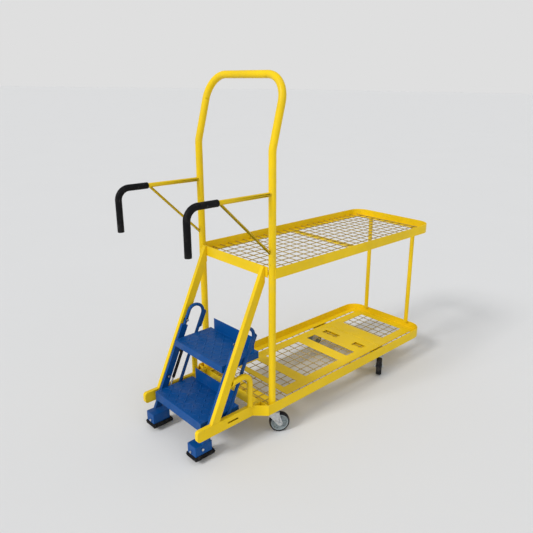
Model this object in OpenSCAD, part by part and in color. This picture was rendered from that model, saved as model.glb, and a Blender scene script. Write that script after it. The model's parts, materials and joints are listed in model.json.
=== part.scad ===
// Stock picking trolley with a sprung step unit, two wire shelves and a tall push hoop.
// The front faces -Y, the shelves run back along +Y, and the floor is at z = 0.
// Inside the modules Y is counted from the plane of the two front posts.

/* [Shelves] */
// Outer width of both shelves
shelf_w = 560; // [500:5:700]
// Distance from the front posts back to the rear face of the shelves
shelf_rear = 1265; // [1000:5:1600]
// Height of the underside of the lower rim, which is the height of a castor
lower_z = 125; // [120:1:130]
// Height of the lower rim
lower_h = 55; // [50:1:60]
// Height of the underside of the upper rim
upper_z = 797; // [760:1:840]
// Height of the upper rim
upper_h = 50; // [45:1:60]
// Thickness of the rim plate
rim_t = 4; // [3:0.5:5]
// Width of the ledge along the inside of the rims
ledge_w = 45; // [40:1:48]
// Outer radius of the rear corners
corner_r = 85; // [60:1:100]
// Spacing of the mesh wires
mesh_pitch = 50; // [40:5:60]
// Diameter of the mesh wires
wire_d = 4; // [3:0.5:4]

/* [Hoop and grab arms] */
// Diameter of the hoop tube
tube_d = 33.7; // [30:0.1:35]
// Wall of the hoop tube
tube_t = 2.6; // [2:0.1:3.2]
// Height at which the hoop leans back
kink_z = 1355; // [1300:5:1400]
// Height of the centre of the hoop's top bar
hoop_z = 1653; // [1600:1:1750]
// Angle of the hoop's lean
hoop_lean = 15; // [10:1:18]
// Bend radius of the hoop's top corners
hoop_r = 115; // [90:5:140]
// Height of the grab arms
arm_z = 1172; // [1120:1:1200]
// Reach of the grab arms in front of the posts
arm_reach = 430; // [380:5:450]
// Height of the lower end of the grips
grip_end_z = 980; // [960:5:1020]
// Diameter of the grips
grip_d = 29; // [27:0.5:32]

/* [Base] */
// Distance of the base rails' front ends from the posts
rail_reach = 404; // [395:1:420]
// Width of a base rail and of a stringer
rail_w = 20; // [18:1:22]
// Position of the rails' and stringers' outer faces
rail_x = 226; // [224:1:228]
// Depth of a stringer across its slope
stringer_d = 40; // [36:1:44]

/* [Step unit] */
// Height of the upper tread
tread_hi = 420; // [410:1:430]
// Height of the lower tread
tread_lo = 185; // [182:1:190]
// Depth of a tread
tread_d = 213; // [200:1:220]
// Clearance under the rubber feet when the unit is up
foot_lift = 21; // [15:1:25]

/* [Castors] */
// Wheel diameter
wheel_d = 100; // [96:1:100]
// Distance of the axle behind the swivel axis
trail = 36; // [32:1:38]
// Position of the swivel axes to each side
swivel_x = 242; // [238:1:242]
// Position of the rear swivel axes behind the posts
swivel_rear = 875; // [800:5:1000]

/* [Hidden] */
$fn = 64;
yellow = [0.93, 0.75, 0.09];
blue = [0.05, 0.30, 0.58];
black = [0.06, 0.06, 0.07];
steel = [0.72, 0.73, 0.75];
grey = [0.55, 0.58, 0.60];

gap = 0.1;                                    // weld gap between neighbouring pieces
seam = 0.04;                                  // butt seam where a bend joins a straight
half_w = shelf_w / 2;
post_x = half_w - rim_t - tube_d / 2 - 0.15;  // posts stand against the inside of the rims
post_y = (arm_reach + grip_d / 2 - shelf_rear) / 2;  // puts the origin at the middle of the length
chamfer_y = -40;                              // where the lower rim's straight sides begin
front_t = 4;                                  // plate of the front bars
front_face = -13;                             // front face of the upper front bar
ledge_up = 12;                                // lower ledge above the lower rim's underside
ledge_dn = 7;                                 // upper ledge above the upper rim's underside
lower_seat = lower_z + ledge_up + rim_t;      // top of the lower ledge
upper_seat = upper_z + ledge_dn + rim_t;      // top of the upper ledge
rear_post_x = 160;
rear_post_d = 25.4;
rear_post_y = shelf_rear - rear_post_d / 2;
slope = 24.56;                                // stringers' angle from the vertical
run = tan(slope);                             // forward run for each unit of drop
stringer_y0 = -387.4;                         // middle of the stringers, continued down to the floor
side_x = 196;                                 // middle of the step unit's side frames
side_d = 16;
rail_top = lower_z + lower_h;
strut_y0 = -348.5;                            // gas strut axis, continued down to the floor
bolt_zs = [500, 235];                         // heights of the guide bolts
travel = foot_lift / cos(slope);              // slide of the step unit down to the floor
front_turn = 57;                              // rest direction of the right front castor
rear_turn = -55;                              // rest direction of the right rear castor
swivel_front = 15;
beam_w = 110;
beam_h = ledge_up - 2 * wire_d - 3 * gap;     // carrier plates, under the lower mesh
panel_t = 4;
panel_z = lower_seat - panel_t;               // the panels lie flush between the ledges
panel_x = 219;
panel_y0 = 137;
panel_split = 907;
panel_y1 = 1240;

// Middle of the stringers at height z
function stringer_y(z) = stringer_y0 + run * z;
function unit(v) = v / norm(v);
function cross2(a, b) = a.x * b.y - a.y * b.x;
function turn(a, b, c) = atan2(cross2(b - a, c - b), (b - a) * (c - b));
// Reach of the mesh inside the rounded rear corners
function corner_reach(over) = sqrt(pow(corner_r - rim_t - 1, 2) - pow(over, 2));

// ---- shared shapes ----

// Places a piece from the posts' plane into the object's frame
module placed(side = 1)
    translate([0, post_y, 0])
        mirror([side < 0 ? 1 : 0, 0, 0])
            children();

// Round tube, or bar when t is 0, along a bent line in the XY plane; the bends are let in with a seam
module bent_tube(pts, r, d, t = 0, seam = 0) {
    n = len(pts);
    cut = [for (i = [0 : n - 1])
        (i == 0 || i == n - 1) ? 0 : r * tan(abs(turn(pts[i - 1], pts[i], pts[i + 1])) / 2)];
    for (i = [0 : n - 2]) {
        along = unit(pts[i + 1] - pts[i]);
        from = cut[i] + (i > 0 ? seam : 0);
        to = cut[i + 1] + (i < n - 2 ? seam : 0);
        start = pts[i] + along * from;
        long = norm(pts[i + 1] - pts[i]) - from - to;
        translate([start.x, start.y, 0])
            rotate([0, 90, atan2(along.y, along.x)])
                difference() {
                    cylinder(d = d, h = long);
                    if (t > 0)
                        translate([0, 0, -1])
                            cylinder(d = d - 2 * t, h = long + 2);
                }
    }
    for (i = [1 : 1 : n - 2]) {
        bend = turn(pts[i - 1], pts[i], pts[i + 1]);
        along = unit(pts[i] - pts[i - 1]);
        start = pts[i] - along * cut[i];
        inward = sign(bend) * [-along.y, along.x];
        mid = start + inward * r;
        first = atan2(-inward.y, -inward.x) + min(bend, 0);
        translate([mid.x, mid.y, 0])
            rotate([0, 0, first])
                rotate_extrude(angle = abs(bend))
                    translate([r, 0])
                        difference() {
                            circle(d = d);
                            if (t > 0)
                                circle(d = d - 2 * t);
                        }
    }
}

// Stands the XY plane up, so that x runs along Y and y runs up
module side_plane(x = 0)
    translate([x, 0, 0])
        rotate([90, 0, 90])
            children();

// Bar from p to q
module bar(p, q, d) {
    v = q - p;
    translate(p)
        rotate([0, acos(v.z / norm(v)), atan2(v.y, v.x)])
            cylinder(d = d, h = norm(v));
}

// Cross-section of a rim: an upright wall with a ledge on its inner side
module rim_section(h, ledge)
    polygon([[0, 0], [0, h], [-rim_t, h], [-rim_t, ledge + rim_t], [-ledge_w, ledge + rim_t],
        [-ledge_w, ledge], [-rim_t, ledge], [-rim_t, 0]]);

// U-shaped rim round the two sides and the rear, from y0 back
module rim(z, h, ledge, y0) {
    side_end = shelf_rear - corner_r;
    for (s = [0, 1])
        mirror([s, 0, 0]) {
            translate([half_w, side_end, z])
                rotate([90, 0, 0])
                    linear_extrude(side_end - y0)
                        rim_section(h, ledge);
            translate([half_w - corner_r, side_end, z])
                rotate_extrude(angle = 90)
                    translate([corner_r, 0])
                        rim_section(h, ledge);
        }
    translate([corner_r - half_w, shelf_rear, z])
        rotate([90, 0, 90])
            linear_extrude(shelf_w - 2 * corner_r)
                rim_section(h, ledge);
}

// Welded mesh: long wires with their underside at z, cross wires on top of them
module mesh(z, y0, long_reach) {
    side_end = shelf_rear - corner_r;
    inner = half_w - rim_t - 1;
    corner_x = half_w - corner_r;
    low = z + wire_d / 2;
    high = z + 1.5 * wire_d + gap;
    for (x = [mesh_pitch / 2 : mesh_pitch : long_reach], s = [-1, 1])
        bar([s * x, y0, low], [s * x, side_end + corner_reach(max(x - corner_x, 30)) - 8, low], wire_d);
    for (y = [mesh_pitch / 2 : mesh_pitch : shelf_rear - 30]) {
        reach = y > side_end ? corner_x + corner_reach(y - side_end) - 2 : inner;
        bar([-reach, y, high], [reach, y, high], wire_d);
    }
}

// ---- hoop and grab arms ----

module hoop_frame() placed() color(yellow) {
    kink_r = 100;
    kink_cut = kink_r * tan(hoop_lean / 2);
    top = (hoop_z - kink_z) / cos(hoop_lean);
    for (s = [-1, 1])
        side_plane(s * post_x)
            bent_tube([[0, lower_seat + gap], [0, kink_z],
                [sin(hoop_lean), cos(hoop_lean)] * 2 * kink_cut + [0, kink_z]],
                kink_r, tube_d, tube_t, seam);
    join = 2 * kink_cut + gap / 2;
    translate([0, 0, kink_z])
        rotate([90 - hoop_lean, 0, 0])
            bent_tube([[-post_x, join], [-post_x, top], [post_x, top], [post_x, join]],
                hoop_r, tube_d, tube_t, seam);
}

arm_bend = 52;
arm_d = 20;

module grab_arm(side) placed(side) color(yellow)
    difference() {
        side_plane(post_x)
            bent_tube([[-10, arm_z], [-arm_reach, arm_z], [-arm_reach, grip_end_z + 6]], arm_bend, arm_d, 2);
        translate([post_x, 0, arm_z - 50])
            cylinder(d = tube_d + 2 * gap, h = 100);
    }

module arm_brace(side) placed(side) color(yellow)
    difference() {
        bar([post_x, -276, arm_z - 4], [post_x, -6, 906], 12);
        translate([post_x, 0, 800])
            cylinder(d = tube_d + 2 * gap, h = 300);
        translate([post_x, -200, arm_z])
            rotate([90, 0, 0])
                cylinder(d = arm_d + 2 * gap, h = 120);
    }

module grip(side) placed(side) color(black) {
    side_plane(post_x)
        bent_tube([[-285, arm_z], [-arm_reach, arm_z], [-arm_reach, grip_end_z + 5]],
            arm_bend, grip_d, (grip_d - arm_d) / 2 - gap);
    translate([post_x, -arm_reach, grip_end_z])
        cylinder(d = grip_d, h = 5);
}

// ---- shelves ----

module upper_rim() placed() color(yellow) {
    rim(upper_z, upper_h, ledge_dn, tube_d / 2 + 1);
    for (s = [-1, 1])
        translate([s * (half_w - rim_t / 2) - rim_t / 2, 0, upper_z])
            cube([rim_t, tube_d / 2 + 1, upper_h]);
}

// Front bar of a shelf: an upright wall with the same ledge behind it
module front_bar(z, h, ledge, reach, ledge_reach, face) {
    translate([-reach, face, z])
        cube([2 * reach, front_t, h]);
    translate([-ledge_reach, face + front_t, z + ledge])
        cube([2 * ledge_reach, ledge_w - rim_t, rim_t]);
}

module upper_front_bar() placed() color(yellow)
    front_bar(upper_z, upper_h, ledge_dn, post_x - tube_d / 2 - gap, half_w - ledge_w - gap, front_face);

module upper_mesh() placed() color(yellow)
    mesh(upper_seat + gap, front_face + front_t + 1, half_w - 50);

module upper_cross_bar() placed() color(yellow)
    translate([gap - half_w + ledge_w, shelf_rear / 2 - 22, upper_seat - rim_t])
        cube([shelf_w - 2 * ledge_w - 2 * gap, 44, rim_t]);

module rear_post(side) placed(side) color(yellow)
    translate([rear_post_x, rear_post_y, rail_top + gap])
        difference() {
            cylinder(d = rear_post_d, h = upper_z - rail_top - 2 * gap);
            translate([0, 0, -1])
                cylinder(d = rear_post_d - 4, h = upper_z);
        }

module lower_rim() placed() color(yellow) {
    difference() {
        rim(lower_z, lower_h, ledge_up, chamfer_y);
        // seat for the rear panel
        translate([-panel_x - 2, panel_split, lower_z + ledge_up - 1])
            cube([2 * panel_x + 4, panel_y1 + 2 - panel_split, rim_t + 2]);
    }
    drop = half_w - rail_x - gap;
    skin = rim_t * sqrt(2);
    for (s = [0, 1])
        mirror([s, 0, 0])
            translate([0, 0, lower_z])
                linear_extrude(lower_h)
                    polygon([[half_w, chamfer_y], [half_w - drop, chamfer_y - drop],
                        [half_w - drop, chamfer_y - drop + skin], [half_w - skin, chamfer_y]]);
}

module lower_front_bar() placed() color(yellow)
    front_bar(lower_z, lower_h, ledge_up, half_w - 10.5, half_w - ledge_w - gap, chamfer_y - front_t);

module lower_mesh() placed() color(yellow)
    mesh(lower_z + beam_h + gap, chamfer_y + 2, half_w - 100);

// Flat panel that lies on the mesh, with rectangular openings [x0, y0, x1, y1]
module panel(y0, y1, holes)
    difference() {
        translate([-panel_x, y0, panel_z])
            cube([2 * panel_x, y1 - y0, panel_t]);
        for (h = holes)
            translate([h[0], h[1], panel_z - 1])
                cube([h[2] - h[0], h[3] - h[1], panel_t + 2]);
    }

module front_panel() placed() color(yellow)
    panel(panel_y0, panel_split, [[-158, 174, 158, 265], [-158, 332, 158, 597], [-158, 669, 158, 741],
        [-153, 801, -40, 845], [82, 801, 158, 845]]);

module rear_panel() placed() color(yellow)
    panel(panel_split + 3, panel_y1, [[-158, 1008, 158, 1204]]);

bolt_x = 25;
bolt_y = 40;

// Flat plate across the underside that carries two castors
module castor_beam(y) placed() color(yellow)
    difference() {
        translate([rim_t + gap - half_w, y - beam_w / 2, lower_z])
            cube([shelf_w - 2 * rim_t - 2 * gap, beam_w, beam_h]);
        for (s = [-1, 1], dx = [-bolt_x, bolt_x], dy = [-bolt_y, bolt_y])
            translate([s * swivel_x + dx, y + dy, lower_z - 1])
                cylinder(d = 8.4, h = 6);
    }

// ---- base rails, stringers and side hoops ----

module rail_side(inset) {
    r = 15;
    y0 = -rail_reach + inset;
    y1 = chamfer_y - front_t - gap;
    z0 = lower_z + inset;
    z1 = rail_top - inset;
    side_plane(rail_x - rail_w + inset)
        linear_extrude(rail_w - 2 * inset)
            polygon(concat([[y1, z0]],
                [for (a = [270 : -10 : 180]) [y0 + r + r * cos(a), z0 + r + r * sin(a)]],
                [for (a = [180 : -10 : 90]) [y0 + r + r * cos(a), z1 - r + r * sin(a)]],
                [[y1, z1]]));
}

module base_rail(side) placed(side) color(yellow)
    difference() {
        rail_side(0);
        difference() {
            rail_side(2);
            translate([0, -20 + chamfer_y - front_t, 0])
                cube([half_w, 30, half_w]);
        }
        translate([rail_x - 3, -237, lower_z + 24])
            cube([5, 58, 8]);
    }

// Upright cut through a stringer, from the rail's top to the upper rim's top
module stringer_side(inset, x0, w) {
    half_run = stringer_d / cos(slope) / 2 - inset / cos(slope);
    top = upper_z + upper_h;
    z0 = rail_top + gap;
    y_wall = front_face - gap;
    side_plane(x0)
        linear_extrude(w)
            polygon([[stringer_y(z0) - half_run, z0], [stringer_y(z0) + half_run, z0],
                [y_wall - inset, (y_wall - inset - half_run - stringer_y0) / run],
                [y_wall - inset, top - inset], [stringer_y(top - inset) - half_run, top - inset]]);
}

module stringer(side) placed(side) color(yellow)
    difference() {
        stringer_side(0, rail_x - rail_w, rail_w);
        stringer_side(2, rail_x - rail_w + 2, rail_w - 4);
        for (z = bolt_zs)
            side_plane(rail_x - rail_w - 1)
                translate([stringer_y(z), z])
                    rotate(-slope)
                        translate([-4.5, -travel - 5.5, 0])
                            cube([9, travel + 11, 4]);
    }

module side_hoop(side) placed(side) color(yellow) {
    d = 28;
    difference() {
        side_plane(rail_x - rail_w + d / 2 + 0.5)
            bent_tube([[-225, 339], [-104, 353], [-104, rail_top + gap]], 45, d, 2, seam);
        stringer_side(-gap, 0, half_w);
    }
}

// ---- gas struts ----

function strut_y(z) = strut_y0 + run * z;
strut_lo = 155;
strut_hi = 394;

// Rod with its lower eye, held by a stud on the base rail
module strut_rod(side) placed(side) color(steel)
    difference() {
        union() {
            bar([side_x, strut_y(strut_lo), strut_lo], [side_x, strut_y(350), 350], 8);
            translate([side_x - 6, strut_y(strut_lo), strut_lo])
                rotate([0, 90, 0])
                    cylinder(d = 16, h = 12);
        }
        translate([side_x - 7, strut_y(strut_lo), strut_lo])
            rotate([0, 90, 0])
                cylinder(d = 6.1, h = 14);
    }

module strut_studs() color(steel)
    for (s = [-1, 1])
        placed(s)
            translate([side_x - 8.7, strut_y(strut_lo), strut_lo])
                rotate([0, 90, 0]) {
                    cylinder(d = 12, h = 2.5);
                    cylinder(d = 6, h = rail_x - rail_w - side_x + 8.7 - gap);
                }

// Cylinder with its upper eye and the pin that it hangs from
module strut_cylinder(side) placed(side) color(black)
    difference() {
        union() {
            bar([side_x, strut_y(215), 215], [side_x, strut_y(380), 380], 15);
            bar([side_x, strut_y(378), 378], [side_x, strut_y(strut_hi), strut_hi], 8);
            translate([side_x - 8.3, strut_y(strut_hi), strut_hi])
                rotate([0, 90, 0])
                    cylinder(d = 14, h = 14);
        }
        bar([side_x, strut_y(210), 210], [side_x, strut_y(372), 372], 8.1);
    }

// ---- step unit ----

leg_gap = 95;      // between the front and the rear leg
leg_d = 34;        // depth of the flat front leg
leg_top = 478;
loop_z = 521;

module step_frame(side) placed(side) color(blue) {
    perp = leg_gap * cos(slope);
    along = [sin(slope), cos(slope)];
    across = [cos(slope), -sin(slope)];
    mid = [stringer_y(loop_z) + leg_gap / 2, loop_z];
    front_top = mid - across * perp / 2 + along * perp / 2;
    rear_top = mid + across * perp / 2 + along * perp / 2;
    foot_z = foot_lift + 69.2;
    half_run = leg_d / cos(slope) / 2;
    leg_end = [stringer_y(leg_top), leg_top] - along * gap;
    difference() {
        union() {
            // loop of tube, with the rear leg
            side_plane(side_x)
                bent_tube([[stringer_y(leg_top), leg_top], front_top, rear_top,
                    [stringer_y(150) + leg_gap, 150]], perp / 2 - 2.5, side_d, 2, seam);
            // lug along the back of the rear leg
            side_plane(side_x - 3)
                linear_extrude(6)
                    polygon([for (p = [[437, 9], [440, 20], [512, 20], [523, 9]])
                        [stringer_y(p[0]) + leg_gap + p[1], p[0]]]);
            // front leg, a flat bar beside the stringer
            side_plane(side_x - 6)
                linear_extrude(14)
                    polygon([[stringer_y(foot_z) - half_run, foot_z], [stringer_y(foot_z) + half_run, foot_z],
                        leg_end + across * leg_d / 2, leg_end - across * leg_d / 2]);
        }
        for (z = bolt_zs)
            translate([side_x - side_d, stringer_y(z), z])
                rotate([0, 90, 0])
                    cylinder(d = 8.1, h = 2 * side_d);
    }
}

// Folded tread: plate, front lip, side and rear flanges, and an upstand behind
module tread(z, front, lip, side_drop) placed() color(blue) {
    half = side_x - side_d / 2 - 1.5;
    rear = front + tread_d;
    plate = 3;
    translate([-half, front, z - plate])
        cube([2 * half, tread_d, plate]);
    translate([-half, front - plate, z - lip])
        cube([2 * half, plate, lip]);
    for (x = [-half, half - plate])
        translate([x, front, z - side_drop])
            cube([plate, tread_d, side_drop - plate]);
    translate([3 - half, rear - plate, z - side_drop])
        cube([2 * half - 6, plate, side_drop - plate]);
    translate([-155, rear - plate, z])
        cube([310, plate, 60]);
}

module upper_tread() tread(tread_hi, -232, 35, 35);
module lower_tread() tread(tread_lo, -356, 45, 30);

foot_x0 = 142;
foot_x1 = 204;
foot_y0 = -403;
foot_y1 = -314;

// Heads of the two bolts in each foot: one through the outer side, one through the front
module foot_bolt(head, shank) {
    translate([foot_x1, -366, foot_lift + 46])
        rotate([0, 90, 0]) {
            translate([0, 0, 0.1])
                cylinder(d = head, h = 5, $fn = 6);
            translate([0, 0, -22])
                cylinder(d = shank, h = 23);
        }
    translate([168, foot_y0, foot_lift + 34])
        rotate([90, 0, 0]) {
            translate([0, 0, 0.1])
                cylinder(d = head, h = 5, $fn = 6);
            translate([0, 0, -22])
                cylinder(d = shank, h = 23);
        }
}

module foot_bracket(side) placed(side) color(blue)
    difference() {
        translate([foot_x0, foot_y0, foot_lift + 20])
            cube([foot_x1 - foot_x0, foot_y1 - foot_y0, 49]);
        translate([foot_x0 + 3, foot_y0 + 3, foot_lift + 19])
            cube([foot_x1 - foot_x0 - 6, foot_y1 - foot_y0, 47]);
        foot_bolt(4, 8.2);
    }

module foot_pad(side) placed(side) color(black)
    difference() {
        union() {
            translate([134, -406, foot_lift])
                cube([75, 103, 20 - gap]);
            translate([foot_x0 + 3.2, foot_y0 + 3.2, foot_lift + 15])
                cube([foot_x1 - foot_x0 - 6.4, foot_y1 - foot_y0 - 4, 47]);
        }
        foot_bolt(4, 8.2);
    }

module foot_bolts() color(steel)
    for (s = [-1, 1])
        placed(s)
            foot_bolt(13, 8);

module guide_bolts() color(steel)
    for (s = [-1, 1], z = bolt_zs)
        placed(s)
            translate([side_x - side_d / 2 - 2, stringer_y(z), z])
                rotate([0, 90, 0]) {
                    translate([0, 0, -5.5])
                        cylinder(d = 13, h = 5.5, $fn = 6);
                    cylinder(d = 8, h = 27);
                }

module guide_washers() color(black)
    for (s = [-1, 1], z = bolt_zs, x = [side_x - side_d / 2 - 1.9, side_x + side_d / 2 + 0.1])
        placed(s)
            translate([x, stringer_y(z), z])
                rotate([0, 90, 0])
                    difference() {
                        cylinder(d = 17, h = 1.7);
                        translate([0, 0, -1])
                            cylinder(d = 8.2, h = 4);
                    }

// ---- castors ----

axle_z = wheel_d / 2;
plate_top = lower_z - gap;

// Moves a castor piece, drawn with its swivel axis at the origin and its trail along +X, into place
module at_castor(front, side)
    placed(side)
        translate([swivel_x, front ? swivel_front : swivel_rear, 0])
            rotate([0, 0, front ? front_turn : rear_turn])
                children();

module castor_plates() color(steel)
    for (y = [swivel_front, swivel_rear], s = [-1, 1])
        placed(s)
            translate([swivel_x, y, 0]) {
                difference() {
                    translate([-37, -50, plate_top - 3])
                        cube([74, 100, 3]);
                    for (dx = [-bolt_x, bolt_x], dy = [-bolt_y, bolt_y])
                        translate([dx, dy, plate_top - 4])
                            cylinder(d = 8.4, h = 5);
                }
                translate([0, 0, 111.5])
                    cylinder(d = 42, h = plate_top - 111.5 - 1);
                translate([0, 0, 102])
                    cylinder(d = 12, h = 12);
                translate([0, 0, 99.5])
                    cylinder(d = 22, h = 3.5);
            }

module castor_bolts() color(steel)
    for (y = [swivel_front, swivel_rear], s = [-1, 1], dx = [-bolt_x, bolt_x], dy = [-bolt_y, bolt_y])
        placed(s)
            translate([swivel_x + dx, y + dy, plate_top - 3]) {
                translate([0, 0, -5.6])
                    cylinder(d = 13, h = 5.5, $fn = 6);
                translate([0, 0, -1])
                    cylinder(d = 8, h = 9);
                translate([0, 0, 3 + beam_h + 2 * gap])
                    cylinder(d = 14, h = 3.8);
            }

module fork(front, side) color(steel)
    at_castor(front, side)
        difference() {
            union() {
                translate([-26, -22, 104])
                    cube([60, 44, 7]);
                for (y = [-22, 19])
                    translate([0, y + 3, 0])
                        rotate([90, 0, 0])
                            linear_extrude(3)
                                hull() {
                                    translate([trail, axle_z])
                                        circle(r = 13, $fn = 32);
                                    translate([-22, 102])
                                        square([54, 3]);
                                }
            }
            translate([0, 0, 100])
                cylinder(r = 6.06, h = 15);
            translate([trail, 30, axle_z])
                rotate([90, 0, 0])
                    cylinder(r = 4.05, h = 60);
        }

module axle(front, side) color(steel)
    at_castor(front, side)
        translate([trail, 0, axle_z])
            rotate([90, 0, 0]) {
                translate([0, 0, -25])
                    cylinder(r = 4, h = 50);
                for (z = [-28, 22.1])
                    translate([0, 0, z])
                        cylinder(d = 13, h = 5.9, $fn = 6);
            }

module wheel(front, side) color(grey)
    at_castor(front, side)
        translate([trail, 0, axle_z])
            rotate([90, 0, 0])
                rotate_extrude()
                    polygon([[4.06, -17.5], [13, -17.5], [15, -6], [34, -5], [37, -14], [wheel_d / 2 - 8, -14],
                        [wheel_d / 2 - 8, 14], [37, 14], [34, 5], [15, 6], [13, 17.5], [4.06, 17.5]]);

module tyre(front, side) color(black)
    at_castor(front, side)
        translate([trail, 0, axle_z])
            rotate([90, 0, 0])
                rotate_extrude()
                    translate([wheel_d / 2, 0])
                        polygon([[-7.9, -15], [-4, -16], [-1.5, -12], [0, -6], [0, 6], [-1.5, 12], [-4, 16],
                            [-7.9, 15]]);

hoop_frame();
grab_arm(-1);  // grab_arm_left
grab_arm(1);  // grab_arm_right
arm_brace(-1);  // arm_brace_left
arm_brace(1);  // arm_brace_right
grip(-1);  // grip_left
grip(1);  // grip_right
upper_rim();
upper_front_bar();
upper_mesh();
upper_cross_bar();
rear_post(-1);  // rear_post_left
rear_post(1);  // rear_post_right
lower_rim();
lower_front_bar();
lower_mesh();
front_panel();
rear_panel();
castor_beam(swivel_front);  // castor_beam_front
castor_beam(swivel_rear);  // castor_beam_rear
base_rail(-1);  // base_rail_left
base_rail(1);  // base_rail_right
stringer(-1);  // stringer_left
stringer(1);  // stringer_right
side_hoop(-1);  // side_hoop_left
side_hoop(1);  // side_hoop_right
strut_rod(-1);  // strut_rod_left
strut_rod(1);  // strut_rod_right
strut_studs();
step_frame(-1);  // step_frame_left
step_frame(1);  // step_frame_right
upper_tread();
lower_tread();
foot_bracket(-1);  // foot_bracket_left
foot_bracket(1);  // foot_bracket_right
foot_pad(-1);  // foot_pad_left
foot_pad(1);  // foot_pad_right
foot_bolts();
guide_bolts();
guide_washers();
strut_cylinder(-1);  // strut_cylinder_left
strut_cylinder(1);  // strut_cylinder_right
castor_bolts();
castor_plates();
fork(true, -1);  // fork_front_left
axle(true, -1);  // axle_front_left
wheel(true, -1);  // wheel_front_left
tyre(true, -1);  // tyre_front_left
fork(true, 1);  // fork_front_right
axle(true, 1);  // axle_front_right
wheel(true, 1);  // wheel_front_right
tyre(true, 1);  // tyre_front_right
fork(false, -1);  // fork_rear_left
axle(false, -1);  // axle_rear_left
wheel(false, -1);  // wheel_rear_left
tyre(false, -1);  // tyre_rear_left
fork(false, 1);  // fork_rear_right
axle(false, 1);  // axle_rear_right
wheel(false, 1);  // wheel_rear_right
tyre(false, 1);  // tyre_rear_right
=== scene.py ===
"""Finishes the stock picking trolley: paint, treads, grips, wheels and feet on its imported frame."""

import json
import math

import bpy
from mathutils import Matrix, Vector


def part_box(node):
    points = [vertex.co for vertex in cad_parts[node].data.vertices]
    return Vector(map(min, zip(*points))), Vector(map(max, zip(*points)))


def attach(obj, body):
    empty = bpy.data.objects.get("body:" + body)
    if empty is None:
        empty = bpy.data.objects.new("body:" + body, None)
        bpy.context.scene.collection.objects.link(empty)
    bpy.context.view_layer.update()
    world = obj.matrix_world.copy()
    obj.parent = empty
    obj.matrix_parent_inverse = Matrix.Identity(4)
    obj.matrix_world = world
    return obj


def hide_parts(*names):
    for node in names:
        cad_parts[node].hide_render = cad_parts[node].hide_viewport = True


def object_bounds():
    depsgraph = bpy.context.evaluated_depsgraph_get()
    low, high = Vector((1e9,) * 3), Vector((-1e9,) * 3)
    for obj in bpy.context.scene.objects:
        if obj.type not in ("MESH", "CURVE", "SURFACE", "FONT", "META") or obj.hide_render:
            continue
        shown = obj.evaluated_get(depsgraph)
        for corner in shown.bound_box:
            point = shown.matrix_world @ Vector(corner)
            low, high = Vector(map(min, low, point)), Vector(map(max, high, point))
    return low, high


bl_info = {
    "name": "Stock Picking Trolley",
    "version": (1, 0, 0),
    "blender": (4, 5, 0),
    "location": "View3D > Sidebar > Trolley",
    "description": "Adds formed steel, treads, grips, castors and a studio to the packed trolley",
    "category": "Object",
}

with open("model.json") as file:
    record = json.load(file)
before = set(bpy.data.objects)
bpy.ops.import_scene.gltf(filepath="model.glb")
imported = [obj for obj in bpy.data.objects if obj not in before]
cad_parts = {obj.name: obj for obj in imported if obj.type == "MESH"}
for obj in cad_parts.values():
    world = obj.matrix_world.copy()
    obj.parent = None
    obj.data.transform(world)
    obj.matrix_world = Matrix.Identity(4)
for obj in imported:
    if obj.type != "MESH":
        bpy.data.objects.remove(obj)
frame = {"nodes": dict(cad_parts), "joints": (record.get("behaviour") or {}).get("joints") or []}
CAD_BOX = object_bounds()
NODES = frame["nodes"]
JOINTS = {joint["name"]: joint for joint in frame["joints"]}
SIDES = ("left", "right")
CORNERS = ("front_left", "front_right", "rear_left", "rear_right")
STEP_BODY = "step_unit"

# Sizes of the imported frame, in metres
SHELF_LENGTH = 1.265  # from the front posts to the rear end
POST_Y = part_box("lower_rim")[1].y - SHELF_LENGTH  # plane of the front posts
POST_FACE = 0.0175  # from the posts' plane to their front
TREAD_LIP = 0.060  # height of a tread's rear lip above its plate
FOOT_BASE = 0.020  # height of a foot's flat base

# Sizes of the added details, in metres
LUG_FIELD = 0.180  # half the width of a tread that carries lugs
LUG_MARGINS = (0.014, 0.016)  # bare strips along a tread's front and back
FOOT_BEAD = 0.0024
GRIP_RINGS = 3
GRIP_RING_STEP = 0.006
GRIP_RING_SINK = 0.0010  # how deep a ring lies in the sleeve
GRIP_MOUTH = 0.004
RIB_SIZE = (0.022, 0.005, 0.020)
RIB_OUT = 0.0245  # from the axle to the middle of a rib

# Sockets of the colour mix node
MIX_FACTOR, MIX_A, MIX_B, MIX_RESULT = 0, 6, 7, 2

# Name, direction towards the light, spread in degrees and share of the key power
LIGHTS = (("key", (-0.10, -1.0, 0.80), 15, 1.0),
          ("fill", (0.9, -0.45, 1.0), 80, 0.36))
SKY_BAND = (0.18, 0.45)  # heights between which the backdrop blends into the sky
FLOOR_SIZE = 600

# Folded nodes with U-shaped faces, which are kept as triangles
ROLLED_NODES = ("upper_rim", "lower_rim", "lower_front_bar", "upper_front_bar")
YELLOW_TUBES = ("hoop_frame", "grab_arm_left", "grab_arm_right", "arm_brace_left",
                "arm_brace_right", "rear_post_left", "rear_post_right", "side_hoop_left",
                "side_hoop_right")
YELLOW_SHEET = ("upper_rim", "lower_rim", "upper_front_bar", "lower_front_bar",
                "upper_cross_bar", "front_panel", "rear_panel", "castor_beam_front",
                "castor_beam_rear", "base_rail_left", "base_rail_right", "stringer_left",
                "stringer_right")


# ---- settings ----

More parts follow.
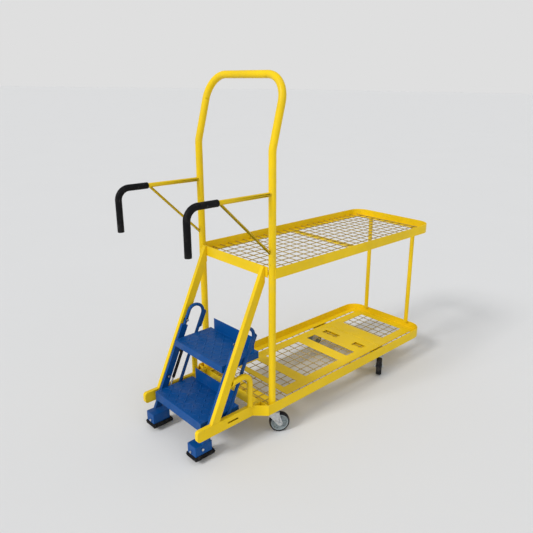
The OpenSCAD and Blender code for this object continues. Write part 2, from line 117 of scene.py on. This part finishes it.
class TrolleyPaint(bpy.types.PropertyGroup):
    """Colours of the paints, rubbers and metals"""

    yellow: bpy.props.FloatVectorProperty(
        name="Yellow", description="Enamel on the trolley frame", subtype="COLOR", size=3,
        default=(0.87, 0.595, 0.007), min=0, max=1)
    blue: bpy.props.FloatVectorProperty(
        name="Blue", description="Enamel on the step unit", subtype="COLOR", size=3,
        default=(0.001, 0.068, 0.262), min=0, max=1)
    black: bpy.props.FloatVectorProperty(
        name="Black", description="Grips, feet and tyres", subtype="COLOR", size=3,
        default=(0.007, 0.007, 0.008), min=0, max=1)
    mesh: bpy.props.FloatVectorProperty(
        name="Mesh", description="Worn enamel on the shelf wires", subtype="COLOR", size=3,
        default=(0.42, 0.29, 0.065), min=0, max=1)
    zinc: bpy.props.FloatVectorProperty(
        name="Zinc", description="Plated forks, bolts and rods", subtype="COLOR", size=3,
        default=(0.62, 0.64, 0.66), min=0, max=1)
    wheel: bpy.props.FloatVectorProperty(
        name="Wheel", description="Moulded wheel centres", subtype="COLOR", size=3,
        default=(0.26, 0.30, 0.31), min=0, max=1)
    grime: bpy.props.FloatProperty(
        name="Grime", description="How much dirt lies in the paint", subtype="FACTOR",
        default=0.35, min=0, max=1)


class TrolleySizes(bpy.types.PropertyGroup):
    """Sizes of the details that are added to the frame"""

    fold: bpy.props.FloatProperty(
        name="Fold radius", description="Rounding along the edges of folded sheet", unit="LENGTH",
        default=0.0012, min=0.0002, max=0.002)
    lug_pitch: bpy.props.FloatProperty(
        name="Lug pitch", description="Distance between the raised lugs of a tread", unit="LENGTH",
        default=0.031, min=0.02, max=0.05)
    lug_length: bpy.props.FloatProperty(
        name="Lug length", description="Length of a raised lug", unit="LENGTH",
        default=0.027, min=0.01, max=0.04)
    lug_width: bpy.props.FloatProperty(
        name="Lug width", description="Width of a raised lug", unit="LENGTH",
        default=0.0085, min=0.004, max=0.012)
    lug_height: bpy.props.FloatProperty(
        name="Lug height", description="Height of a raised lug", unit="LENGTH",
        default=0.0017, min=0.0005, max=0.003)
    bead: bpy.props.FloatProperty(
        name="Weld bead", description="Thickness of the weld beads", unit="LENGTH",
        default=0.0024, min=0.001, max=0.004)
    spokes: bpy.props.IntProperty(
        name="Spokes", description="Ribs on each side of a wheel centre", default=6, min=3, max=12)


class TrolleyStudio(bpy.types.PropertyGroup):
    """The floor, the lights and the camera"""

    floor: bpy.props.FloatVectorProperty(
        name="Floor", description="Colour of the floor and backdrop", subtype="COLOR", size=3,
        default=(0.757, 0.757, 0.755), min=0, max=1)
    key_power: bpy.props.FloatProperty(
        name="Key power", description="Strength of the soft sun from the front",
        default=1.75, min=0, max=10)
    sky: bpy.props.FloatProperty(
        name="Sky", description="Strength of the even light from above", default=0.44, min=0, max=3)
    backdrop: bpy.props.FloatProperty(
        name="Backdrop", description="Brightness of the backdrop near the horizon", default=0.738,
        min=0, max=3)
    focal: bpy.props.FloatProperty(
        name="Focal length", description="Focal length on a 36 mm frame", subtype="DISTANCE_CAMERA",
        default=36.775, min=10, max=200)
    yaw: bpy.props.FloatProperty(
        name="Yaw", description="Turn of the camera from the trolley's length", subtype="ANGLE",
        default=math.radians(44.93))
    pitch: bpy.props.FloatProperty(
        name="Pitch", description="Downward tilt of the camera", subtype="ANGLE",
        default=math.radians(17.41))
    roll: bpy.props.FloatProperty(
        name="Roll", description="Roll of the camera", subtype="ANGLE", default=math.radians(0.85))
    place: bpy.props.FloatVectorProperty(
        name="Place", description="Where the camera stands, from the front posts' plane",
        subtype="TRANSLATION", size=3, default=(1.92866, -1.53095, 1.60187))
    shift: bpy.props.FloatVectorProperty(
        name="Shift", description="Sideways and upward shift of the frame", size=2,
        default=(-0.0543, -0.0160))


# ---- mesh helpers ----

def only(*objects):
    """Selects just these objects, and makes the first one active."""
    bpy.ops.object.select_all(action="DESELECT")
    for obj in objects:
        obj.select_set(True)
    bpy.context.view_layer.objects.active = objects[0]


def settle(obj):
    """Puts the object's place into its mesh."""
    only(obj)
    bpy.ops.object.transform_apply(location=True, rotation=True, scale=True)


def add_modifier(obj, kind, **values):
    """Adds a modifier and applies it."""
    only(obj)
    modifier = obj.modifiers.new(kind.title(), kind)
    for key, value in values.items():
        setattr(modifier, key, value)
    bpy.ops.object.modifier_apply(modifier=modifier.name)


def keep_inside(obj, low, high):
    """Moves the corners that reach past the box back onto it."""
    for vertex in obj.data.vertices:
        vertex.co = [min(max(at, least), most) for at, least, most in zip(vertex.co, low, high)]


def smooth(obj, angle=40):
    """Shades the faces that meet at less than the angle as one surface."""
    only(obj)
    bpy.ops.object.shade_smooth_by_angle(angle=math.radians(angle))


def joined(name, objects):
    """Joins the objects into one piece with this name."""
    only(*objects)
    if len(objects) > 1:
        bpy.ops.object.join()
    piece = bpy.context.view_layer.objects.active
    piece.name = piece.data.name = name
    return piece


def formed(node, edge=0.0, flat=False, parts=2):
    """A copy of a frame node with its corners joined up and its edges rounded.

    With flat set, the triangles of each flat face are merged first."""
    source = NODES[node]
    piece = bpy.data.objects.new(node + "_finish", source.data.copy())
    bpy.context.scene.collection.objects.link(piece)
    only(piece)
    bpy.ops.object.mode_set(mode="EDIT")
    bpy.ops.mesh.select_all(action="SELECT")
    bpy.ops.mesh.remove_doubles(threshold=0.00001)
    if flat:
        bpy.ops.mesh.dissolve_limited(angle_limit=math.radians(0.5))
    bpy.ops.object.mode_set(mode="OBJECT")
    if edge:
        add_modifier(piece, "BEVEL", width=edge, segments=parts, limit_method="ANGLE",
                     angle_limit=math.radians(38), use_clamp_overlap=False)
        keep_inside(piece, *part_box(node))
    smooth(piece)
    if edge:
        add_modifier(piece, "WEIGHTED_NORMAL", keep_sharp=True)
    return piece


def copies(source, matrices):
    """The source and its copies, one for each matrix, each with its own mesh."""
    made = []
    for matrix in matrices:
        twin = source.copy()
        twin.data = source.data.copy()
        bpy.context.scene.collection.objects.link(twin)
        twin.matrix_world = matrix
        made.append(twin)
    bpy.data.objects.remove(source)
    for twin in made:
        settle(twin)
    return made


def dress(piece, body, material, slot, *nodes):
    """Gives a piece its finish and its body, and hides the frame nodes that it stands for."""
    piece.data.materials.clear()
    piece.data.materials.append(material)
    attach(piece, body)
    if nodes:
        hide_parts(*nodes)
    return piece


def turned_to(direction, place, spin=0.0):
    """Matrix that stands a shape's Z axis along the direction at the place."""
    turn = Vector(direction).to_track_quat("Z", "Y").to_matrix().to_4x4()
    return Matrix.Translation(place) @ turn @ Matrix.Rotation(spin, 4, "Z")


# ---- materials ----

class Shader:
    """A node material, built one node at a time."""

    def __init__(self, name, **constants):
        self.material = bpy.data.materials.new(name)
        self.material.use_nodes = True
        self.tree = self.material.node_tree
        self.body = self.tree.nodes["Principled BSDF"]
        for key, value in constants.items():
            self.body.inputs[key.replace("_", " ")].default_value = value
        self.coords = self.tree.nodes.new("ShaderNodeTexCoord").outputs["Object"]

    def link(self, source, target):
        self.tree.links.new(source, target)

    def noise(self, scale, detail=4.0, rough=0.55, stretch=None):
        node = self.tree.nodes.new("ShaderNodeTexNoise")
        node.inputs["Scale"].default_value = scale
        node.inputs["Detail"].default_value = detail
        node.inputs["Roughness"].default_value = rough
        self.link(self.stretched(stretch), node.inputs["Vector"])
        return node.outputs["Fac"]

    def stretched(self, stretch):
        if not stretch:
            return self.coords
        mapping = self.tree.nodes.new("ShaderNodeMapping")
        mapping.inputs["Scale"].default_value = stretch
        self.link(self.coords, mapping.inputs["Vector"])
        return mapping.outputs["Vector"]

    def band(self, source, low, high, out_low=0.0, out_high=1.0):
        """The source between low and high, spread over the output range."""
        node = self.tree.nodes.new("ShaderNodeMapRange")
        for key, value in zip(("From Min", "From Max", "To Min", "To Max"),
                              (low, high, out_low, out_high)):
            node.inputs[key].default_value = value
        self.link(source, node.inputs["Value"])
        return node.outputs["Result"]

    def mix(self, base, colour, factor, blend="MIX"):
        """Base, a colour or a socket, mixed with the colour by the factor socket."""
        node = self.tree.nodes.new("ShaderNodeMix")
        node.data_type = "RGBA"
        node.blend_type = blend
        for socket, value in ((node.inputs[MIX_A], base), (node.inputs[MIX_B], colour)):
            if isinstance(value, bpy.types.NodeSocket):
                self.link(value, socket)
            else:
                socket.default_value = (*value, 1.0)
        self.link(factor, node.inputs[MIX_FACTOR])
        return node.outputs[MIX_RESULT]

    def bump(self, height, distance, strength=0.5, under=None):
        node = self.tree.nodes.new("ShaderNodeBump")
        node.inputs["Distance"].default_value = distance
        node.inputs["Strength"].default_value = strength
        self.link(height, node.inputs["Height"])
        if under:
            self.link(under, node.inputs["Normal"])
        return node.outputs["Normal"]

    def finish(self, colour, rough, normal):
        self.link(colour, self.body.inputs["Base Color"])
        self.link(rough, self.body.inputs["Roughness"])
        self.link(normal, self.body.inputs["Normal"])
        return self.material


def scaled(colour, factor):
    return tuple(channel * factor for channel in colour)


def enamel(name, colour, primer, grime, gloss):
    """Brushed-on shop enamel: soft blotches, a dusty film, fine scratches and small chips."""
    shader = Shader(name, Coat_Weight=0.02, Coat_Roughness=0.28,
                    Specular_IOR_Level=0.15)
    blotch = shader.band(shader.noise(3.1), 0.3, 0.7)
    tint = shader.mix(scaled(colour, 0.86), scaled(colour, 1.06), blotch)
    film = shader.band(shader.noise(13.0, 8.0, 0.7), 0.5, 0.8, 0.0, grime)
    dusty = shader.mix(tint, (0.30, 0.25, 0.17), film)
    lines = shader.noise(21.0, 3.0, 0.5, (9.0, 9.0, 0.7))
    scratch = shader.band(lines, 0.69, 0.72, 0.0, 0.55)
    worn = shader.mix(dusty, scaled(colour, 0.55), scratch)
    flakes = shader.noise(74.0, 5.0, 0.62)
    chipped = shader.mix(worn, primer, shader.band(flakes, 0.715, 0.73, 0.0, 0.9))
    rough = shader.band(shader.noise(38.0, 6.0, 0.65), 0.25, 0.75, gloss - 0.06, gloss + 0.12)
    peel = shader.bump(shader.noise(520.0, 2.0), 0.00025, 0.35)
    pits = shader.bump(shader.band(flakes, 0.715, 0.73, 1.0, 0.0), 0.0003, 0.6, peel)
    return shader.finish(chipped, rough, pits)


def plated(name, colour, gloss):
    """Zinc plate with faint spangle, drawing lines and tarnish."""
    shader = Shader(name, Metallic=0.92)
    cell = shader.tree.nodes.new("ShaderNodeTexVoronoi")
    cell.inputs["Scale"].default_value = 170.0
    shader.link(shader.coords, cell.inputs["Vector"])
    spangle = shader.band(cell.outputs["Distance"], 0.0, 0.9)
    tint = shader.mix(scaled(colour, 0.78), scaled(colour, 1.08), spangle)
    tarnish = shader.band(shader.noise(42.0, 7.0, 0.7), 0.52, 0.75, 0.0, 0.55)
    aged = shader.mix(tint, (0.20, 0.18, 0.16), tarnish)
    rough = shader.band(shader.noise(95.0, 4.0), 0.3, 0.7, gloss - 0.07, gloss + 0.13)
    lines = shader.bump(shader.noise(90.0, 2.0, 0.5, (1.0, 1.0, 9.0)), 0.0002, 0.25)
    return shader.finish(aged, rough, lines)


def moulded(name, colour, gloss, grain, dust=0.12):
    """Moulded rubber or plastic with a fine grain, a bloom of dust and scuffs."""
    shader = Shader(name, Specular_IOR_Level=0.08)
    blotch = shader.band(shader.noise(8.0), 0.3, 0.7)
    tint = shader.mix(scaled(colour, 0.75), scaled(colour, 1.3), blotch)
    bloom = shader.band(shader.noise(26.0, 8.0, 0.7), 0.5, 0.78, 0.0, dust)
    dusty = shader.mix(tint, (0.34, 0.31, 0.27), bloom)
    scuff = shader.band(shader.noise(45.0, 3.0, 0.5, (1.0, 5.0, 1.0)), 0.68, 0.72, 0.0, 0.3)
    worn = shader.mix(dusty, (0.16, 0.16, 0.16), scuff)
    rough = shader.band(shader.noise(60.0, 5.0), 0.3, 0.7, gloss - 0.06, gloss + 0.1)
    skin = shader.bump(shader.noise(grain, 3.0, 0.6), 0.0003, 0.45)
    return shader.finish(worn, rough, skin)


def floor_finish(colour):
    """Pale matt studio floor with the faintest mottling."""
    shader = Shader("studio_floor", Specular_IOR_Level=0.1)
    mottle = shader.band(shader.noise(0.8), 0.3, 0.7)
    tint = shader.mix(scaled(colour, 0.995), scaled(colour, 1.005), mottle)
    rough = shader.band(shader.noise(3.0), 0.3, 0.7, 0.85, 0.95)
    return shader.finish(tint, rough, shader.bump(shader.noise(30.0), 0.0001, 0.05))


MATERIALS = {}


def finish_of(slot):
    """The material of a slot, made when it is first asked for."""
    if slot not in MATERIALS:
        paint = bpy.context.scene.trolley_paint
        black = tuple(paint.black)
        makers = {
            "yellow_paint": lambda: enamel("yellow_enamel", tuple(paint.yellow),
                                           (0.16, 0.10, 0.03), paint.grime * 0.45, 0.36),
            "mesh_paint": lambda: enamel("mesh_enamel", tuple(paint.mesh), (0.10, 0.08, 0.05),
                                         paint.grime * 1.5, 0.5),
            "blue_paint": lambda: enamel("blue_enamel", tuple(paint.blue), (0.05, 0.055, 0.06),
                                         paint.grime * 0.4, 0.38),
            "zinc_steel": lambda: plated("zinc_plate", tuple(paint.zinc), 0.33),
            "black_steel": lambda: enamel("black_enamel", scaled(black, 1.2), (0.2, 0.2, 0.2),
                                          0.05, 0.3),
            "black_plastic": lambda: moulded("grip_foam", black, 0.46, 900.0, 0.06),
            "black_rubber": lambda: moulded("foot_rubber", scaled(black, 1.1), 0.62, 480.0),
            "tyre_rubber": lambda: moulded("tyre_rubber", scaled(black, 2.2), 0.6, 420.0,
                                           0.3),
            "grey_plastic": lambda: moulded("wheel_nylon", tuple(paint.wheel), 0.42, 600.0),
        }
        MATERIALS[slot] = makers[slot]()
    return MATERIALS[slot]


# ---- operators ----

def weld_ring(name, place, direction, radius):
    """A weld bead laid in a ring round a tube."""
    bead = bpy.context.scene.trolley_sizes.bead
    bpy.ops.object.select_all(action="DESELECT")
    bpy.ops.mesh.primitive_torus_add(major_segments=36, minor_segments=8,
                                     major_radius=radius, minor_radius=bead / 2)
    ring = bpy.context.active_object
    ring.name = name
    for vertex in ring.data.vertices:
        turn = math.atan2(vertex.co.y, vertex.co.x)
        swell = 1.0 + 0.02 * math.sin(turn * 18.0)
        vertex.co = Vector((vertex.co.x * swell, vertex.co.y * swell, vertex.co.z))
    ring.matrix_world = turned_to(direction, place)
    settle(ring)
    keep_inside(ring, *CAD_BOX)
    smooth(ring, 60)
    return ring


class TROLLEY_OT_frame_steel(bpy.types.Operator):
    """Finish the yellow tubes, rims, panels and rails of the trolley frame"""

    bl_idname = "trolley.frame_steel"
    bl_label = "Frame Steel"

    def execute(self, context):
        fold = context.scene.trolley_sizes.fold
        yellow = finish_of("yellow_paint")
        for node in YELLOW_TUBES:
            dress(formed(node), "frame", yellow, "yellow_paint", node)
        for node in YELLOW_SHEET:
            flat = node not in ROLLED_NODES
            dress(formed(node, fold, flat=flat), "frame", yellow, "yellow_paint", node)
        return {"FINISHED"}


class TROLLEY_OT_weld_beads(bpy.types.Operator):
    """Lay weld beads where the tubes meet the frame"""

    bl_idname = "trolley.weld_beads"
    bl_label = "Weld Beads"

    def execute(self, context):
        beads = []
        for side in SIDES:
            low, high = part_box("rear_post_" + side)
            middle, radius = (low + high) / 2, (high.x - low.x) / 2
            place = (middle.x, middle.y, low.z)
            beads.append(weld_ring("post_foot", place, (0, 0, 1), radius))
            low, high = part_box("grab_arm_" + side)
            middle, radius = (low + high) / 2, (high.x - low.x) / 2
            place = (middle.x, POST_Y - POST_FACE, high.z - radius)
            beads.append(weld_ring("arm_root", place, (0, 1, 0), radius))
            low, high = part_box("side_hoop_" + side)
            middle, radius = (low + high) / 2, (high.x - low.x) / 2
            place = (middle.x, high.y - radius, low.z)
            beads.append(weld_ring("hoop_foot", place, (0, 0, 1), radius))
        dress(joined("weld_beads", beads), "frame", finish_of("yellow_paint"), "yellow_paint")
        return {"FINISHED"}


class TROLLEY_OT_wire_mesh(bpy.types.Operator):
    """Finish the welded wire mesh of the two shelves"""

    bl_idname = "trolley.wire_mesh"
    bl_label = "Wire Mesh"

    def execute(self, context):
        for node in ("upper_mesh", "lower_mesh"):
            dress(formed(node), "frame", finish_of("mesh_paint"), "yellow_paint", node)
        return {"FINISHED"}


def tread_lugs(node, plate_top):
    """Raised lugs of a tread plate, turned by turns to the left and to the right."""
    sizes = bpy.context.scene.trolley_sizes
    low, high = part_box(node)
    y0, y1 = low.y + LUG_MARGINS[0], high.y - LUG_MARGINS[1]
    columns = int(2 * LUG_FIELD / sizes.lug_pitch)
    rows = int((y1 - y0) / sizes.lug_pitch)
    bpy.ops.object.select_all(action="DESELECT")
    bpy.ops.mesh.primitive_uv_sphere_add(segments=12, ring_count=8, radius=0.5)
    lug = bpy.context.active_object
    bpy.ops.object.mode_set(mode="EDIT")
    bpy.ops.mesh.select_all(action="SELECT")
    bpy.ops.transform.resize(value=(sizes.lug_length, sizes.lug_width, 2 * sizes.lug_height))
    bpy.ops.mesh.bisect(plane_co=(0, 0, -0.0001), plane_no=(0, 0, 1), use_fill=True,
                        clear_inner=True)
    bpy.ops.object.mode_set(mode="OBJECT")
    places = []
    for row in range(rows + 1):
        for column in range(columns + 1):
            turn = math.radians(45 if (row + column) % 2 else -45)
            place = ((column - columns / 2) * sizes.lug_pitch,
                     y0 + (row + 0.3) * (y1 - y0) / (rows + 0.6), plate_top)
            places.append(Matrix.Translation(place) @ Matrix.Rotation(turn, 4, "Z"))
    lugs = joined(node + "_lugs", copies(lug, places))
    smooth(lugs, 60)
    return lugs


class TROLLEY_OT_treads(bpy.types.Operator):
    """Form the two folded treads and raise the lugs of their plates"""

    bl_idname = "trolley.treads"
    bl_label = "Treads"

    def execute(self, context):
        fold = context.scene.trolley_sizes.fold
        blue = finish_of("blue_paint")
        for node in ("upper_tread", "lower_tread"):
            plate_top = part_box(node)[1].z - TREAD_LIP
            tread = formed(node, fold * 1.15, flat=True, parts=3)
            dress(tread, STEP_BODY, blue, "blue_paint", node)
            dress(tread_lugs(node, plate_top), STEP_BODY, blue, "blue_paint")
        return {"FINISHED"}


class TROLLEY_OT_step_frame(bpy.types.Operator):
    """Finish the side frames and foot brackets of the step unit"""

    bl_idname = "trolley.step_frame"
    bl_label = "Step Frame"

    def execute(self, context):
        blue = finish_of("blue_paint")
        for side in SIDES:
            node = "step_frame_" + side
            dress(formed(node), STEP_BODY, blue, "blue_paint", node)
            node = "foot_bracket_" + side
            bracket = formed(node, 0.002, flat=True, parts=3)
            dress(bracket, STEP_BODY, blue, "blue_paint", node)
        return {"FINISHED"}


class TROLLEY_OT_feet(bpy.types.Operator):
    """Mould the rubber feet, with a bead round their edge"""

    bl_idname = "trolley.feet"
    bl_label = "Rubber Feet"

    def execute(self, context):
        rubber = finish_of("black_rubber")
        for side in SIDES:
            node = "foot_pad_" + side
            low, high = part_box(node)
            pad = formed(node, 0.0022, flat=True, parts=3)
            dress(pad, STEP_BODY, rubber, "black_rubber", node)
            middle, half = (low + high) / 2, (high - low) / 2
            bpy.ops.object.select_all(action="DESELECT")
            bpy.ops.mesh.primitive_torus_add(major_segments=4, minor_segments=12,
                                             major_radius=half.y * math.sqrt(2),
                                             minor_radius=FOOT_BEAD)
            rim = bpy.context.active_object
            place = Matrix.Translation((middle.x, middle.y, low.z + FOOT_BASE / 2))
            rim.data.transform(place @ Matrix.Diagonal((half.x / half.y, 1, 1, 1))
                               @ Matrix.Rotation(math.radians(45), 4, "Z"))
            smooth(rim)
            rim.name = f"foot_rim_{side}"
            dress(rim, STEP_BODY, rubber, "black_rubber")
        return {"FINISHED"}


class TROLLEY_OT_grips(bpy.types.Operator):
    """Form the black sleeves on the grab arms, with a rolled mouth and ribbed end"""

    bl_idname = "trolley.grips"
    bl_label = "Grips"

    def execute(self, context):
        foam = finish_of("black_plastic")
        for side in SIDES:
            node = "grip_" + side
            low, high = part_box(node)
            radius = (high.x - low.x) / 2
            centre_x = (high.x + low.x) / 2
            sleeve = formed(node, 0.0018, parts=3)
            rings = []
            for index in range(GRIP_RINGS):
                place = (centre_x, low.y + radius, low.z + (index + 1) * GRIP_RING_STEP)
                rings.append(weld_ring("end_ring", place, (0, 0, 1), radius - GRIP_RING_SINK))
            mouth = (centre_x, high.y - GRIP_MOUTH, high.z - radius)
            rings.append(weld_ring("mouth_ring", mouth, (0, 1, 0), radius - GRIP_RING_SINK))
            dress(sleeve, "frame", foam, "black_plastic", node)
            dress(joined(f"grip_rings_{side}", rings), "frame", foam, "black_plastic")
        return {"FINISHED"}


class TROLLEY_OT_struts(bpy.types.Operator):
    """Finish the gas struts, with polished rods and black cylinders"""

    bl_idname = "trolley.struts"
    bl_label = "Gas Struts"

    def execute(self, context):
        for side in SIDES:
            node = "strut_rod_" + side
            dress(formed(node), "frame", finish_of("zinc_steel"), "zinc_steel", node)
            node = "strut_cylinder_" + side
            dress(formed(node, 0.0008), STEP_BODY, finish_of("black_steel"), "black_steel",
                  node)
        return {"FINISHED"}


class TROLLEY_OT_fasteners(bpy.types.Operator):
    """Finish the bolts, studs and washers"""

    bl_idname = "trolley.fasteners"
    bl_label = "Fasteners"

    def execute(self, context):
        zinc = finish_of("zinc_steel")
        for node, body in (("strut_studs", "frame"), ("castor_bolts", "frame"),
                           ("castor_plates", "frame"), ("foot_bolts", STEP_BODY),
                           ("guide_bolts", STEP_BODY)):
            dress(formed(node, 0.0006), body, zinc, "zinc_steel", node)
        dress(formed("guide_washers", 0.0003), STEP_BODY, finish_of("black_plastic"),
              "black_plastic", "guide_washers")
        return {"FINISHED"}


class TROLLEY_OT_castors(bpy.types.Operator):
    """Finish the four castors, with ribbed wheel centres and rounded tyres"""

    bl_idname = "trolley.castors"
    bl_label = "Castors"

    def execute(self, context):
        zinc = finish_of("zinc_steel")
        nylon = finish_of("grey_plastic")
        spokes = context.scene.trolley_sizes.spokes
        for corner in CORNERS:
            swivel, wheel = "swivel_" + corner, "wheel_" + corner
            for node, edge, body, finish, slot in (
                    ("fork_", 0.0008, swivel, zinc, "zinc_steel"),
                    ("axle_", 0.0006, swivel, zinc, "zinc_steel"),
                    ("tyre_", 0.0008, wheel, finish_of("tyre_rubber"), "tyre_rubber"),
                    ("wheel_", 0.0008, wheel, nylon, "grey_plastic")):
                dress(formed(node + corner, edge), body, finish, slot, node + corner)
            low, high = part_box("tyre_" + corner)
            middle = (low + high) / 2
            along = Vector(JOINTS["wheel_" + corner]["axis"])
            bpy.ops.object.select_all(action="DESELECT")
            bpy.ops.mesh.primitive_cube_add(size=1)
            rib = bpy.context.active_object
            bpy.ops.object.mode_set(mode="EDIT")
            bpy.ops.mesh.select_all(action="SELECT")
            bpy.ops.transform.resize(value=RIB_SIZE)
            bpy.ops.transform.translate(value=(RIB_OUT, 0, 0))
            bpy.ops.object.mode_set(mode="OBJECT")
            add_modifier(rib, "BEVEL", width=0.0012, segments=3, limit_method="ANGLE")
            ribs = copies(rib, [turned_to(along, middle, index * 2 * math.pi / spokes)
                                for index in range(spokes)])
            spider = joined("wheel_ribs_" + corner, ribs)
            smooth(spider)
            dress(spider, wheel, nylon, "grey_plastic")
        return {"FINISHED"}


class TROLLEY_OT_studio(bpy.types.Operator):
    """Set up the pale floor, the soft lights and the camera"""

    bl_idname = "trolley.studio"
    bl_label = "Studio"

    def execute(self, context):
        studio = context.scene.trolley_studio
        bpy.ops.object.select_all(action="DESELECT")
        bpy.ops.mesh.primitive_plane_add(size=FLOOR_SIZE)
        floor = bpy.context.active_object
        floor.name = "studio_floor"
        floor.data.materials.append(floor_finish(tuple(studio.floor)))

        world = bpy.data.worlds.new("studio_sky")
        context.scene.world = world
        world.use_nodes = True
        tree = world.node_tree
        sky = tree.nodes["Background"]
        sky.inputs["Strength"].default_value = 1.0
        coords = tree.nodes.new("ShaderNodeTexCoord")
        split = tree.nodes.new("ShaderNodeSeparateXYZ")
        height = tree.nodes.new("ShaderNodeMapRange")
        blend = tree.nodes.new("ShaderNodeMix")
        blend.data_type = "RGBA"
        height.inputs["From Min"].default_value, height.inputs["From Max"].default_value = SKY_BAND
        blend.inputs[MIX_A].default_value = (*[studio.backdrop] * 3, 1.0)
        blend.inputs[MIX_B].default_value = (studio.sky * 0.98, studio.sky,
                                             studio.sky * 1.03, 1.0)
        tree.links.new(coords.outputs["Generated"], split.inputs[0])
        tree.links.new(split.outputs["Z"], height.inputs["Value"])
        tree.links.new(height.outputs["Result"], blend.inputs[MIX_FACTOR])
        tree.links.new(blend.outputs[MIX_RESULT], sky.inputs["Color"])

        for name, direction, spread, share in LIGHTS:
            lamp = bpy.data.lights.new(name, "SUN")
            lamp.energy = studio.key_power * share
            lamp.angle = math.radians(spread)
            light = bpy.data.objects.new(name, lamp)
            context.scene.collection.objects.link(light)
            light.matrix_world = turned_to(direction, direction)

        camera_data = bpy.data.cameras.new("camera")
        camera_data.sensor_width = 36.0
        camera_data.lens = studio.focal
        camera_data.shift_x, camera_data.shift_y = studio.shift
        camera = bpy.data.objects.new("camera", camera_data)
        context.scene.collection.objects.link(camera)
        yaw, pitch, roll = studio.yaw, studio.pitch, studio.roll
        ahead = Vector((-math.sin(yaw) * math.cos(pitch), math.cos(yaw) * math.cos(pitch),
                        -math.sin(pitch)))
        right = Vector((math.cos(yaw), math.sin(yaw), 0.0))
        up = right.cross(ahead)
        across = right * math.cos(roll) + up * math.sin(roll)
        upward = up * math.cos(roll) - right * math.sin(roll)
        turn = Matrix((across, upward, -ahead)).transposed().to_4x4()
        place = Vector(studio.place) + Vector((0, POST_Y, 0))
        camera.matrix_world = Matrix.Translation(place) @ turn
        context.scene.camera = camera
        context.scene.view_settings.view_transform = "Standard"
        return {"FINISHED"}


class TROLLEY_PT_panel(bpy.types.Panel):
    """Steps that finish the trolley"""

    bl_label = "Trolley"
    bl_idname = "TROLLEY_PT_panel"
    bl_space_type = "VIEW_3D"
    bl_region_type = "UI"
    bl_category = "Trolley"

    def draw(self, context):
        for group in (context.scene.trolley_paint, context.scene.trolley_sizes,
                      context.scene.trolley_studio):
            box = self.layout.box()
            for key in group.__annotations__:
                box.prop(group, key)
        for step in STEPS:
            self.layout.operator(step.bl_idname)


STEPS = (TROLLEY_OT_frame_steel, TROLLEY_OT_weld_beads, TROLLEY_OT_wire_mesh, TROLLEY_OT_treads,
         TROLLEY_OT_step_frame, TROLLEY_OT_feet, TROLLEY_OT_grips, TROLLEY_OT_struts,
         TROLLEY_OT_fasteners, TROLLEY_OT_castors, TROLLEY_OT_studio)
CLASSES = (TrolleyPaint, TrolleySizes, TrolleyStudio, *STEPS, TROLLEY_PT_panel)


def register():
    for cls in CLASSES:
        bpy.utils.register_class(cls)
    bpy.types.Scene.trolley_paint = bpy.props.PointerProperty(type=TrolleyPaint)
    bpy.types.Scene.trolley_sizes = bpy.props.PointerProperty(type=TrolleySizes)
    bpy.types.Scene.trolley_studio = bpy.props.PointerProperty(type=TrolleyStudio)


def unregister():
    del bpy.types.Scene.trolley_studio
    del bpy.types.Scene.trolley_sizes
    del bpy.types.Scene.trolley_paint
    for cls in reversed(CLASSES):
        bpy.utils.unregister_class(cls)


def main():
    register()
    bpy.ops.trolley.frame_steel()
    bpy.ops.trolley.weld_beads()
    bpy.ops.trolley.wire_mesh()
    bpy.ops.trolley.treads()
    bpy.ops.trolley.step_frame()
    bpy.ops.trolley.feet()
    bpy.ops.trolley.grips()
    bpy.ops.trolley.struts()
    bpy.ops.trolley.fasteners()
    bpy.ops.trolley.castors()
    bpy.ops.trolley.studio()


if __name__ == "__main__":
    main()
